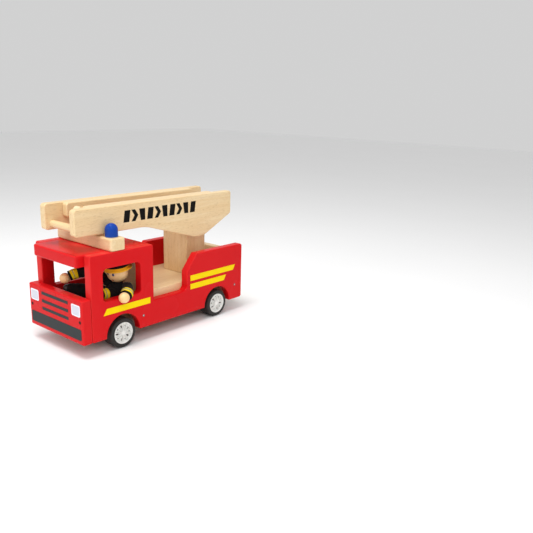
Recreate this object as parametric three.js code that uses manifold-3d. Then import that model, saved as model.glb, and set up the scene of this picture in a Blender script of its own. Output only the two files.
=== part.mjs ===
// Toy fire engine: a painted wooden cab and body on four rubber-tyred wheels, with a natural wood
// ladder boom on a turning block and a soft-bodied driver doll at the cab window.
//
// Millimetres. +X forward, +Y to the vehicle's left, +Z up, wheels standing on z = 0. Sub-parts are
// drawn in the vehicle's own coordinates (x = 0 at the front edges of the side panels, y = 0 on the
// centre plane), and the whole group is then shifted to put the origin under the middle of its box.

import * as THREE from 'three';
import { mergeVertices } from 'three/addons/utils/BufferGeometryUtils.js';
import Module from 'manifold-3d';

const wasm = await Module();
wasm.setup();

// ---- Driving dimensions ----------------------------------------------------------------------

const gap = 0.05; // between boards that touch
const bodyLength = 350;
const bodyWidth = 154;
const panelThickness = 15.5;
const panelBottom = 24;
const cabTop = 166.5;
const cabRear = -125.5;
const rearPanelTop = 133.5;
const notchFloor = 68.5;
const notchRear = -203;
const slopeFoot = 103.5;
const slopeHead = -227;
const outerHalf = bodyWidth / 2;
const innerHalf = outerHalf - panelThickness;

const cabWindow = { front: -23.6, rear: -98.4, bottom: 87.6, top: 141.5, topRadius: 9, bottomRadius: 6 };

const wheelRadius = 25.5;
const wheelSides = 48;
const axleZ = wheelRadius * Math.cos(Math.PI / wheelSides);
const frontAxleX = -60.5;
const rearAxleX = -281.5;
const archRadius = 33.3;
const tyreOuterY = 76.6;
const tyreWidth = 27;
const hubRadius = 18.6;
const axleRadius = 3;

const frontPanelThickness = 17;
const frontPanelTop = 98;
const roofThickness = 19.5;
const roofFront = 14.5;
const floorTop = 62;
const floorThickness = 8;
const bulkheadThickness = 12.3;
const deckTop = 81.5;
const deckThickness = 15;
const deckFront = -128.5;
const tailboardTop = 119;
const tailboardBottom = 50;
const tailboardThickness = 14;
const axleBlockLength = 96;
const axleBlockSpan = { front: [-124.5, -27.5], rear: [-334, -245] };
const axleBlockBottom = 12;

const lightBar = { front: -41, rear: -69.5, halfLength: 76.3, height: 21 };
const lamp = { x: -55.3, y: 59.2, radius: 10.4, straight: 11.6 };

const turretX = -267;
const turret = { halfWidth: 33, depth: 50, cornerRadius: 3.5, bottomGap: 0.3 };
const pivotZ = 181;
const pivotRadius = 5;
const boltRadius = 4;
const boltHead = { radius: 9, height: 5.6, clearance: 0.4 };

const boomHalf = 48;
const boomFront = 4.5;
const plateThickness = 13.6;
const boomTop = 235;
const boomBottom = 191;
const dowelRadius = 6.25;
const dowelZ = 201;
const frontDowelX = -9;
const rearDowelX = -300;
const plateInner = boomHalf - plateThickness;

const rail = { front: -27.5, rear: -310, bottom: 210, top: 235, outer: plateInner - 0.3, thickness: 13.3 };
const rungRadius = 4;
const rungZ = 216;
const rungXs = [-60, -130, -200, -270];
const groove = { front: -120, rear: -299.4, z: 222.2, halfHeight: 3.3, depth: 4.6 };
const guidePin = { x: -296, radius: 2.9 };

const decalThickness = 0.3;

const seat = { x: -80, y: 38 };
const headRadius = 18;
const headZ = 120;
const handRadius = 8.8;
const helmetTail = 28;
const helmetTilt = 7; // degrees, brow down

// ---- Finishes --------------------------------------------------------------------------------

function finish(colour, roughness, metalness = 0) {
  return () => new THREE.MeshStandardMaterial({ color: colour, roughness, metalness });
}

const redPaint = finish(0xcd2126, 0.35);
const beech = finish(0xe6c08a, 0.6);
const bluePaint = finish(0x1c48a0, 0.35);
const blackRubber = finish(0x23211f, 0.85);
const whitePlastic = finish(0xe4e4e0, 0.4);
const steel = finish(0xb8bcc0, 0.35, 0.9);
const yellowFilm = finish(0xf5de0f, 0.45);
const greyFilm = finish(0x48505a, 0.5);
const whiteFilm = finish(0xebeef6, 0.4);
const blackCloth = finish(0x1e1b1c, 0.95);
const skinWood = finish(0xebc396, 0.55);
const helmetPaint = finish(0xf0b423, 0.4);

// ---- Geometry helpers --------------------------------------------------------------------------

function toManifold(geometry) {
  const bare = geometry.clone();
  bare.deleteAttribute('normal');
  bare.deleteAttribute('uv');
  const merged = mergeVertices(bare, 1e-4);
  return new wasm.Manifold(new wasm.Mesh({
    numProp: 3,
    vertProperties: new Float32Array(merged.attributes.position.array),
    triVerts: new Uint32Array(merged.index.array),
  }));
}

function toGeometry(manifold) {
  const mesh = manifold.getMesh();
  const geometry = new THREE.BufferGeometry();
  geometry.setAttribute('position', new THREE.BufferAttribute(new Float32Array(mesh.vertProperties), 3));
  geometry.setIndex(new THREE.BufferAttribute(new Uint32Array(mesh.triVerts), 1));
  geometry.computeVertexNormals();
  return geometry;
}

function cut(geometry, ...tools) {
  const result = tools.reduce((solid, tool) => solid.subtract(toManifold(tool)), toManifold(geometry));
  return toGeometry(result);
}

function join(geometry, ...others) {
  const result = others.reduce((solid, other) => solid.add(toManifold(other)), toManifold(geometry));
  return toGeometry(result);
}

function common(geometry, other) {
  return toGeometry(toManifold(geometry).intersect(toManifold(other)));
}

// Traces a polygon with a radius at each corner: corners are [u, v, radius].
function traceRounded(path, corners) {
  corners.forEach(([u, v, radius], i) => {
    const before = corners[(i + corners.length - 1) % corners.length];
    const after = corners[(i + 1) % corners.length];
    const here = new THREE.Vector2(u, v);
    const toBefore = new THREE.Vector2(before[0] - u, before[1] - v).normalize();
    const toAfter = new THREE.Vector2(after[0] - u, after[1] - v).normalize();
    const halfAngle = Math.acos(THREE.MathUtils.clamp(toBefore.dot(toAfter), -1, 1)) / 2;
    const setback = radius / Math.tan(halfAngle);
    const start = here.clone().addScaledVector(toBefore, setback);
    const end = here.clone().addScaledVector(toAfter, setback);
    if (i === 0) path.moveTo(start.x, start.y);
    else path.lineTo(start.x, start.y);
    if (radius > 0) {
      const inward = toBefore.clone().add(toAfter).normalize();
      const centre = here.clone().addScaledVector(inward, radius / Math.sin(halfAngle));
      const from = Math.atan2(start.y - centre.y, start.x - centre.x);
      const to = Math.atan2(end.y - centre.y, end.x - centre.x);
      const turnsLeft = toBefore.x * toAfter.y - toBefore.y * toAfter.x < 0;
      path.absarc(centre.x, centre.y, radius, from, to, !turnsLeft);
    }
  });
  path.closePath();
  return path;
}

function roundedShape(corners) {
  return traceRounded(new THREE.Shape(), corners);
}

function rectangle(u0, v0, u1, v1, radius = 0) {
  return roundedShape([[u0, v0, radius], [u1, v0, radius], [u1, v1, radius], [u0, v1, radius]]);
}

function extrude(shape, depth, segments = 6) {
  return new THREE.ExtrudeGeometry(shape, { depth, bevelEnabled: false, curveSegments: segments });
}

// Outline drawn in (x, z), running from y = low to y = high.
function alongY(shape, low, high, segments) {
  const geometry = extrude(shape, high - low, segments);
  geometry.rotateX(Math.PI / 2);
  geometry.translate(0, high, 0);
  return geometry;
}

// Outline drawn in (y, z), running from x = low to x = high.
function alongX(shape, low, high, segments) {
  const geometry = extrude(shape, high - low, segments);
  geometry.applyMatrix4(new THREE.Matrix4().makeBasis(
    new THREE.Vector3(0, 1, 0), new THREE.Vector3(0, 0, 1), new THREE.Vector3(1, 0, 0)));
  geometry.translate(low, 0, 0);
  return geometry;
}

// Outline drawn in (x, y), running from z = low to z = high.
function alongZ(shape, low, high, segments) {
  const geometry = extrude(shape, high - low, segments);
  geometry.translate(0, 0, low);
  return geometry;
}

function box(x0, y0, z0, x1, y1, z1) {
  const geometry = new THREE.BoxGeometry(x1 - x0, y1 - y0, z1 - z0);
  geometry.translate((x0 + x1) / 2, (y0 + y1) / 2, (z0 + z1) / 2);
  return geometry;
}

// A round rod on the Y axis, with a flat side turned down.
function rodY(radius, low, high, sides = 24) {
  const geometry = new THREE.CylinderGeometry(radius, radius, high - low, sides);
  geometry.rotateY(Math.PI / sides);
  geometry.translate(0, (low + high) / 2, 0);
  return geometry;
}

function rodZ(radius, low, high, sides = 24) {
  const geometry = new THREE.CylinderGeometry(radius, radius, high - low, sides);
  geometry.rotateX(Math.PI / 2);
  geometry.translate(0, 0, (low + high) / 2);
  return geometry;
}

function lathe(profile, sides) {
  return new THREE.LatheGeometry(profile.map(([r, h]) => new THREE.Vector2(r, h)), sides);
}

// A soft limb: a round tube through the given points.
function limb(points, radius, steps) {
  const path = new THREE.CatmullRomCurve3(points.map((p) => new THREE.Vector3(...p)));
  const section = new THREE.Shape().absarc(0, 0, radius, 0, Math.PI * 2, false);
  const options = { steps, extrudePath: path, curveSegments: 6, bevelEnabled: false };
  return new THREE.ExtrudeGeometry(section, options);
}

const vehicle = new THREE.Group();

function place(name, geometry, material, position = [0, 0, 0], parent = vehicle) {
  const mesh = new THREE.Mesh(geometry, material());
  mesh.name = name;
  mesh.position.set(...position);
  parent.add(mesh);
  return mesh;
}

const sides = [['left', 1], ['right', -1]];

// ---- Body --------------------------------------------------------------------------------------

function sidePanelOutline() {
  const chordDrop = panelBottom - axleZ;
  const halfChord = Math.sqrt(archRadius ** 2 - chordDrop ** 2);
  const rear = -bodyLength;
  const outline = new THREE.Shape();
  const arch = (x) => {
    const angle = Math.atan2(chordDrop, halfChord);
    outline.lineTo(x + halfChord, panelBottom);
    outline.absarc(x, axleZ, archRadius, angle, Math.PI - angle, false);
  };
  const corner = 5;
  outline.moveTo(-2, panelBottom);
  arch(frontAxleX);
  arch(rearAxleX);
  outline.lineTo(rear + corner, panelBottom);
  outline.absarc(rear + corner, panelBottom + corner, corner, -Math.PI / 2, -Math.PI, true);
  outline.lineTo(rear, rearPanelTop - corner);
  outline.absarc(rear + corner, rearPanelTop - corner, corner, Math.PI, Math.PI / 2, true);
  outline.lineTo(slopeHead, rearPanelTop);
  outline.lineTo(notchRear, slopeFoot);
  const fillet = 10;
  outline.lineTo(notchRear, notchFloor + fillet);
  outline.absarc(notchRear + fillet, notchFloor + fillet, fillet, Math.PI, Math.PI * 1.5, false);
  outline.lineTo(cabRear, notchFloor);
  outline.lineTo(cabRear, cabTop - 2);
  outline.lineTo(cabRear + 2, cabTop);
  outline.lineTo(-2, cabTop);
  outline.lineTo(0, cabTop - 2);
  outline.lineTo(0, panelBottom + 2);
  outline.closePath();
  outline.holes.push(traceRounded(new THREE.Path(), [
    [cabWindow.rear, cabWindow.bottom, cabWindow.bottomRadius],
    [cabWindow.front, cabWindow.bottom, cabWindow.bottomRadius],
    [cabWindow.front, cabWindow.top, cabWindow.topRadius],
    [cabWindow.rear, cabWindow.top, cabWindow.topRadius],
  ]));
  return outline;
}

function addBody() {
  const inside = innerHalf - gap;
  for (const [side, sign] of sides) {
    const [low, high] = sign > 0 ? [innerHalf, outerHalf] : [-outerHalf, -innerHalf];
    place(`side_panel_${side}`, alongY(sidePanelOutline(), low, high, 10), redPaint);
  }
  const front = rectangle(-outerHalf, panelBottom, outerHalf, frontPanelTop, 3);
  place('front_panel', alongX(front, gap, frontPanelThickness, 3), redPaint);
  const roofSide = rectangle(cabRear, cabTop - roofThickness, roofFront, cabTop, 3);
  const roofPlan = roundedShape([
    [cabRear, -inside, 0], [roofFront, -inside, 7], [roofFront, inside, 2], [cabRear, inside, 0],
  ]);
  const roof = common(alongY(roofSide, -inside, inside, 3), alongZ(roofPlan, 0, bodyLength, 5));
  place('roof_panel', roof, redPaint);

  const floorEnd = cabRear + bulkheadThickness;
  const under = cabTop - roofThickness - gap;
  place('cab_floor', box(floorEnd + gap, -inside, floorTop - floorThickness, 0, inside, floorTop), beech);
  place('bulkhead', box(cabRear, -inside, floorTop - floorThickness, floorEnd, inside, under), beech);

  const tailFront = -bodyLength + tailboardThickness;
  const deck = box(tailFront + gap, -inside, deckTop - deckThickness, deckFront, inside, deckTop);
  const boltHole = rodZ(boltRadius + 0.4, deckTop - deckThickness - 1, deckTop + 1);
  boltHole.translate(turretX, 0, 0);
  place('deck_board', cut(deck, boltHole), beech);
  place('tailboard', box(-bodyLength, -inside, tailboardBottom, tailFront, inside, tailboardTop), beech);
}

function addLightBar() {
  const plan = rectangle(lightBar.rear, -lightBar.halfLength, lightBar.front, lightBar.halfLength, 4);
  const bottom = cabTop + gap;
  const top = cabTop + lightBar.height;
  place('light_bar', alongZ(plan, bottom, top, 4), beech);
  const profile = [[0, 0], [lamp.radius, 0], [lamp.radius, lamp.straight]];
  const steps = 6;
  for (let i = 1; i <= steps; i += 1) {
    const angle = (Math.PI / 2) * (i / steps);
    const radius = i === steps ? 0 : lamp.radius * Math.cos(angle);
    profile.push([radius, lamp.straight + lamp.radius * Math.sin(angle)]);
  }
  const dome = lathe(profile, 24);
  dome.rotateX(Math.PI / 2);
  place('blue_lamp', dome, bluePaint, [lamp.x, lamp.y, top + gap]);
}

// ---- Wheels ------------------------------------------------------------------------------------

function axleBlock(end, x, top) {
  const half = axleBlockLength / 2;
  const [rear, front] = axleBlockSpan[end];
  const block = rectangle(rear, axleBlockBottom, front, top, 2);
  const hole = rodY(axleRadius + 0.3, -half - 1, half + 1);
  hole.translate(x, 0, axleZ);
  const boltPocket = rodZ(boltHead.radius + 1, top - boltHead.height - 2, top + 1);
  boltPocket.translate(turretX, 0, 0);
  return cut(alongY(block, -half, half, 2), hole, boltPocket);
}

function tyreGeometry() {
  const half = tyreWidth / 2;
  const inner = hubRadius + 0.2;
  const shoulder = 2.5;
  const profile = [
    [inner, -half + 1], [inner + 1.5, -half], [wheelRadius - shoulder, -half],
    [wheelRadius, -half + shoulder], [wheelRadius, half - shoulder],
    [wheelRadius - shoulder, half], [inner + 1.5, half], [inner, half - 1], [inner, -half + 1],
  ];
  const geometry = lathe(profile, wheelSides);
  geometry.rotateY(Math.PI / wheelSides);
  return geometry;
}

// The hub's face is dished, and its axle socket opens inwards.
function hubGeometry() {
  const half = tyreWidth / 2;
  const socket = axleRadius + 0.15;
  const profile = [
    [0, half - 3.5], [0, half - 1.4], [5, half - 1.4], [7, half - 2.6], [15.5, half - 1.6],
    [17, half - 0.5], [hubRadius, half - 0.5], [hubRadius, -half + 1.5], [socket, -half + 1.5],
    [socket, half - 3.5], [0, half - 3.5],
  ];
  const geometry = lathe(profile.reverse(), wheelSides);
  geometry.rotateY(Math.PI / wheelSides);
  return geometry;
}

function addWheels() {
  const centreY = tyreOuterY - tyreWidth / 2;
  const socketEnd = tyreOuterY - 3.8;
  const pairs = [
    ['front', frontAxleX, floorTop - floorThickness - gap],
    ['rear', rearAxleX, deckTop - deckThickness - gap],
  ];
  for (const [end, x, blockTop] of pairs) {
    place(`${end}_axle_block`, axleBlock(end, x, blockTop), beech);
    place(`${end}_axle`, rodY(axleRadius, -socketEnd, socketEnd), steel, [x, 0, axleZ]);
    for (const [side, sign] of sides) {
      const tyre = place(`tyre_${end}_${side}`, tyreGeometry(), blackRubber, [x, sign * centreY, axleZ]);
      const hub = place(`hub_${end}_${side}`, hubGeometry(), whitePlastic, [x, sign * centreY, axleZ]);
      if (sign < 0) {
        tyre.rotation.z = Math.PI;
        hub.rotation.z = Math.PI;
      }
    }
  }
}

// ---- Turntable and boom --------------------------------------------------------------------------

function addTurret() {
  const bottom = deckTop + turret.bottomGap;
  const half = turret.depth / 2;
  const width = turret.halfWidth;
  const plan = rectangle(turretX - half, -width, turretX + half, width, turret.cornerRadius);
  const side = new THREE.Shape();
  side.moveTo(turretX - half - 1, bottom);
  side.lineTo(turretX + half + 1, bottom);
  side.lineTo(turretX + half + 1, pivotZ);
  side.lineTo(turretX + half, pivotZ);
  side.absarc(turretX, pivotZ, half, 0, Math.PI, false);
  side.lineTo(turretX - half - 1, pivotZ);
  side.closePath();
  const post = common(alongZ(plan, bottom, pivotZ + half + 1, 5), alongY(side, -width - 1, width + 1, 12));
  const pivotHole = rodY(pivotRadius + 0.4, -width - 1, width + 1);
  pivotHole.translate(turretX, 0, pivotZ);
  const boltDepth = 30;
  const boltSocket = rodZ(boltRadius + 0.15, bottom - 1, bottom + boltDepth);
  boltSocket.translate(turretX, 0, 0);
  place('turret_block', cut(post, pivotHole, boltSocket), beech);

  const under = deckTop - deckThickness;
  const headTop = under - boltHead.clearance;
  const shank = rodZ(boltRadius, headTop - boltHead.height, bottom + boltDepth - 1);
  const head = rodZ(boltHead.radius, headTop - boltHead.height, headTop);
  place('turret_bolt', join(shank, head), steel, [turretX, 0, 0]);
}

function boomOutline() {
  return roundedShape([
    [boomFront, boomBottom, 6], [boomFront, boomTop, 6], [-347, boomTop, 5], [-347, 191, 6],
    [-265, 151.3, 57], [-136, boomBottom, 90],
  ]);
}

function boomPlate(sign) {
  const [low, high] = sign > 0 ? [plateInner, boomHalf] : [-boomHalf, -plateInner];
  const socketDepth = 8;
  const inner = sign * (plateInner - 1);
  const [from, to] = [inner, sign * (plateInner + socketDepth)].sort((a, b) => a - b);
  const sockets = [
    [turretX, pivotZ, pivotRadius], [frontDowelX, dowelZ, dowelRadius], [rearDowelX, dowelZ, dowelRadius],
  ].map(([x, z, radius]) => {
    const socket = rodY(radius + 0.15, from, to);
    socket.translate(x, 0, z);
    return socket;
  });
  const { front, rear, z: slotZ, halfHeight } = groove;
  const slot = rectangle(rear, slotZ - halfHeight, front, slotZ + halfHeight, 3);
  const [slotLow, slotHigh] = [inner, sign * (plateInner + groove.depth)].sort((a, b) => a - b);
  return cut(alongY(boomOutline(), low, high, 12), ...sockets, alongY(slot, slotLow, slotHigh, 4));
}

function addBoom() {
  for (const [side, sign] of sides) place(`boom_plate_${side}`, boomPlate(sign), beech);
  const reach = plateInner + 7.5;
  place('boom_front_dowel', rodY(dowelRadius, -reach, reach), beech, [frontDowelX, 0, dowelZ]);
  place('boom_rear_dowel', rodY(dowelRadius, -reach, reach), beech, [rearDowelX, 0, dowelZ]);
  place('boom_pivot_dowel', rodY(pivotRadius, -reach, reach), beech, [turretX, 0, pivotZ]);
}

// ---- Sliding ladder --------------------------------------------------------------------------------

function addLadder() {
  const inner = rail.outer - rail.thickness;
  const outline = rectangle(rail.rear, rail.bottom, rail.front, rail.top, 5);
  for (const [side, sign] of sides) {
    const [low, high] = sign > 0 ? [inner, rail.outer] : [-rail.outer, -inner];
    place(`ladder_rail_${side}`, alongY(outline, low, high, 4), beech);
    const pinLow = sign > 0 ? rail.outer + gap : -plateInner - groove.depth + 0.4;
    const pinHigh = sign > 0 ? plateInner + groove.depth - 0.4 : -rail.outer - gap;
    const pin = rodY(guidePin.radius, pinLow, pinHigh, 12);
    place(`ladder_guide_pin_${side}`, pin, beech, [guidePin.x, 0, groove.z]);
  }
  rungXs.forEach((x, i) => {
    const rung = rodY(rungRadius, -inner + gap, inner - gap, 16);
    place(`ladder_rung_${i + 1}`, rung, beech, [x, 0, rungZ]);
  });
  const tab = { x: -18, z: 230.2, radius: 6.2, neck: 3 };
  const knob = rodY(tab.radius, inner, rail.outer, 20);
  knob.translate(tab.x, 0, tab.z);
  const neckLow = tab.z - 2 - tab.neck;
  const neck = box(rail.front + gap, inner, neckLow, tab.x, rail.outer, neckLow + tab.neck * 2);
  place('ladder_pull_tab', join(knob, neck), beech);
}

// ---- Driver ----------------------------------------------------------------------------------------

// A dome on a flat brim that reaches further back over the neck.
function helmetGeometry() {
  const brimBottom = headZ + 4.5;
  const brimThickness = 3.4;
  const brimWidth = 22;
  const inside = headRadius + 0.6;
  const height = 14;
  const steps = 6;
  const profile = [];
  for (let i = 0; i <= steps; i += 1) {
    const angle = (Math.PI / 2) * (i / steps);
    profile.push([i === steps ? 0 : inside * Math.cos(angle), brimBottom + height * Math.sin(angle)]);
  }
  for (let i = steps; i >= 0; i -= 1) {
    const angle = (Math.PI / 2) * (i / steps);
    const radius = i === steps ? 0 : (inside + 2) * Math.cos(angle);
    profile.push([radius, brimBottom + brimThickness + height * Math.sin(angle)]);
  }
  profile.push([inside + 2, brimBottom], [inside, brimBottom]);
  const dome = lathe(profile.reverse(), 24);
  dome.rotateX(Math.PI / 2);
  const brim = new THREE.Shape();
  brim.absellipse(0, 0, brimWidth, brimWidth, -Math.PI / 2, Math.PI / 2, false);
  brim.absellipse(0, 0, helmetTail, brimWidth, Math.PI / 2, Math.PI * 1.5, false);
  brim.holes.push(new THREE.Path().absarc(0, 0, inside + 1, 0, Math.PI * 2, true));
  return join(dome, alongZ(brim, brimBottom, brimBottom + brimThickness, 12));
}

function addDriver() {
  const torsoTop = 101.5;
  const torsoPlan = rectangle(seat.x - 15, seat.y - 18, seat.x + 15, seat.y + 18, 9);
  const torso = alongZ(torsoPlan, floorTop + 0.3, torsoTop, 4);
  const neck = rodZ(5, torsoTop - 1, headZ - headRadius + 1, 16);
  neck.translate(seat.x, seat.y, 0);
  place('driver_torso', join(torso, neck), blackCloth);

  const ball = new THREE.SphereGeometry(headRadius, 24, 16);
  ball.rotateX(Math.PI / 2);
  const chin = headZ - headRadius;
  const flat = box(-20, -20, -40, 20, 20, chin + 1.4 - headZ);
  place('driver_head', cut(ball, flat), skinWood, [seat.x, seat.y, headZ]);
  const helmet = helmetGeometry();
  helmet.translate(0, 0, -headZ);
  const worn = place('driver_helmet', helmet, helmetPaint, [seat.x, seat.y, headZ]);
  worn.rotation.y = THREE.MathUtils.degToRad(helmetTilt);

  const leftArm = [[-83, 63.6, 96.8], [-76, 70, 97.2], [-70, 77, 97.2], [-63.5, 82.5, 96.8]];
  place('driver_left_sleeve', limb(leftArm, 7.5, 10), blackCloth);
  const rightArm = [[-78, 14.4, 97], [-73, 9.5, 101.5], [-62, 7, 111], [-45, 3, 118.5], [-30, -4, 118.5],
    [-21.5, -8, 115.5]];
  place('driver_right_sleeve', limb(rightArm, 6.8, 16), blackCloth);
  const hands = [['left', [-54.5, 88, 91]], ['right', [-12, -12.5, 112]]];
  for (const [side, centre] of hands) {
    place(`driver_${side}_hand`, new THREE.SphereGeometry(handRadius, 20, 12), skinWood, centre);
  }

  const legs = [
    ['left', [[-57, 45.5, 77.5], [-52.5, 44.5, 81.5], [-46, 43, 85.5], [-36, 43, 88]]],
    ['right', [[-57.5, 15.5, 80], [-50, 2, 83], [-40, -14, 85], [-28, -32, 85]]],
  ];
  for (const [side, points] of legs) {
    const boot = new THREE.SphereGeometry(9.2, 16, 10);
    boot.translate(...points[points.length - 1]);
    place(`driver_${side}_leg`, join(limb(points, 8, 10), boot), blackCloth);
  }
}

// ---- Printed film ------------------------------------------------------------------------------------

function addFrontFilm() {
  const face = frontPanelThickness + gap;
  const add = (name, shape, material) => place(name, alongX(shape, face, face + decalThickness, 3), material);
  for (const [side, sign] of sides) {
    const [low, high] = sign > 0 ? [47.5, 71] : [-71, -47.5];
    add(`headlight_${side}`, rectangle(low, 70.5, high, 89.5, 3), whiteFilm);
  }
  const grilleHalf = 38;
  [87.5, 74, 61].forEach((z, i) => {
    add(`grille_bar_${i + 1}`, rectangle(-grilleHalf, z - 2.6, grilleHalf, z + 2.6), greyFilm);
  });
  add('bumper_strip', rectangle(-72, 31.5, 72, 50.5, 3), greyFilm);
}

function addSideFilm() {
  const stripes = [
    ['front', [[-21.5, 65], [-117, 65], [-117, 75.6], [-28.5, 75.6]]],
    ['rear_upper', [[-211, 84.5], [-324.5, 84.5], [-330, 94.8], [-211, 94.8]]],
    ['rear_lower', [[-211, 68.5], [-299, 68.5], [-305, 78.8], [-211, 78.8]]],
  ];
  for (const [name, outline] of stripes) {
    const shape = new THREE.Shape(outline.map(([x, z]) => new THREE.Vector2(x, z)));
    for (const [side, sign] of sides) {
      const near = sign * (outerHalf + gap);
      const far = sign * (outerHalf + gap + decalThickness);
      const band = alongY(shape, Math.min(near, far), Math.max(near, far));
      place(`stripe_${name}_${side}`, band, yellowFilm);
    }
  }
}

// ---- Assembly ----------------------------------------------------------------------------------------

addBody();
addLightBar();
addWheels();
addTurret();
addBoom();
addLadder();
addDriver();
addFrontFilm();
addSideFilm();

const lowest = new THREE.Box3().setFromObject(vehicle);
vehicle.position.set(-(lowest.min.x + lowest.max.x) / 2, -(lowest.min.y + lowest.max.y) / 2, 0);

const fireEngine = new THREE.Group();
fireEngine.add(vehicle);

export default fireEngine;
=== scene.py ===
import math

import bmesh
import bpy
from mathutils import Matrix, Vector, noise


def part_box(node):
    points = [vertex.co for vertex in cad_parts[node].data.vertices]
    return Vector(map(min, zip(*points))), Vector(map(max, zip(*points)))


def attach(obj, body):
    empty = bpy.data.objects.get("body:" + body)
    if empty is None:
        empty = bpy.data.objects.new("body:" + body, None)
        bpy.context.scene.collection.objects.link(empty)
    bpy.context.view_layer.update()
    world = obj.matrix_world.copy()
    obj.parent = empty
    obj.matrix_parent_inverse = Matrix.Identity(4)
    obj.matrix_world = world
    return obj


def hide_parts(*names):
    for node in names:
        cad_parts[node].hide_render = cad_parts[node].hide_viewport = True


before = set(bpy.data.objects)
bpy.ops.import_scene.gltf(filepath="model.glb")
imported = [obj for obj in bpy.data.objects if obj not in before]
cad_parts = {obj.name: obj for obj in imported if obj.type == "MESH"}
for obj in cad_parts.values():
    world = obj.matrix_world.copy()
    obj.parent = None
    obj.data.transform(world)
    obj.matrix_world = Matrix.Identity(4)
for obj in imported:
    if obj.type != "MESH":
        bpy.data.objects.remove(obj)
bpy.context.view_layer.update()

MM = 0.001
EDGE_ANGLE = 50  # degrees; a sharper edge than this is rounded
PANEL = [Vector(corner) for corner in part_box("side_panel_left")]
FAR_PANEL = [Vector(corner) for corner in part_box("side_panel_right")]
ORIGIN = Vector((PANEL[1].x, (PANEL[1].y + FAR_PANEL[0].y) / 2, 0))
OUTER = (PANEL[1].y - FAR_PANEL[0].y) / 2 / MM


def at(x, y, z):
    """A point given in mm from the front edge of the side panels, the centre plane and the ground."""
    return ORIGIN + Vector((x, y, z)) * MM


def linear(r, g, b):
    """A colour given as it looks on a screen, 0 to 255, in the linear values that shaders take."""
    def channel(c):
        c /= 255
        return c / 12.92 if c <= 0.04045 else ((c + 0.055) / 1.055) ** 2.4
    return (channel(r), channel(g), channel(b), 1)


# ---- Materials -----------------------------------------------------------------------------------

class Shader:
    """A Principled material built from noise on the piece's own coordinates."""

    def __init__(self, name, **constants):
        self.mat = bpy.data.materials.new(name)
        self.mat.use_nodes = True
        self.tree = self.mat.node_tree
        self.bsdf = self.tree.nodes["Principled BSDF"]
        for key, value in constants.items():
            self.bsdf.inputs[key.replace("_", " ")].default_value = value

    def add(self, kind, settings=None, **inputs):
        node = self.tree.nodes.new(kind)
        for key, value in (settings or {}).items():
            setattr(node, key, value)
        for key, value in inputs.items():
            socket = node.inputs[key.replace("_", " ")]
            if isinstance(value, bpy.types.NodeSocket):
                self.tree.links.new(value, socket)
            else:
                socket.default_value = value
        return node

    def link(self, output, name):
        self.tree.links.new(output, self.bsdf.inputs[name])

    def coords(self, scale, shift=0.0):
        source = self.add("ShaderNodeTexCoord").outputs["Object"]
        offset = (shift * 1.37, shift * 0.71, shift * 2.03)
        return self.add("ShaderNodeMapping", Vector=source, Scale=scale, Location=offset).outputs["Vector"]

    def noise(self, vector, scale, detail=3.0, rough=0.5, distortion=0.0):
        node = self.add("ShaderNodeTexNoise", Vector=vector, Scale=scale, Detail=detail, Roughness=rough,
                        Distortion=distortion)
        return node.outputs["Fac"]

    def ramp(self, value, *stops):
        node = self.add("ShaderNodeValToRGB", Fac=value)
        elements = node.color_ramp.elements
        while len(elements) < len(stops):
            elements.new(0.5)
        for element, (position, colour) in zip(elements, stops):
            element.position = position
            element.color = colour if isinstance(colour, tuple) else (colour, colour, colour, 1)
        return node.outputs["Color"]

    def mix(self, factor, a, b, blend="MIX"):
        node = self.tree.nodes.new("ShaderNodeMix")
        node.data_type = "RGBA"
        node.blend_type = blend
        for index, value in ((0, factor), (6, a), (7, b)):
            if isinstance(value, bpy.types.NodeSocket):
                self.tree.links.new(value, node.inputs[index])
            else:
                node.inputs[index].default_value = value
        return node.outputs[2]

    def spread(self, value, low, high):
        node = self.add("ShaderNodeMapRange", Value=value, To_Min=low, To_Max=high)
        node.inputs["From Min"].default_value = 0.3
        node.inputs["From Max"].default_value = 0.7
        return node.outputs["Result"]

    def bump(self, height, strength, distance):
        node = self.add("ShaderNodeBump", Strength=strength, Distance=distance, Height=height)
        self.link(node.outputs["Normal"], "Normal")

    def edges(self, colour, highlight_colour, low=0.515, high=0.56, amount=0.6):
        """Painted highlight: a lighter colour along the sharp outer edges, where light catches them."""
        sharp = self.add("ShaderNodeNewGeometry").outputs["Pointiness"]
        factor = self.ramp(sharp, (low, 0.0), (high, amount))
        return self.mix(factor, colour, highlight_colour)


WOODS = {}


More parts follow.
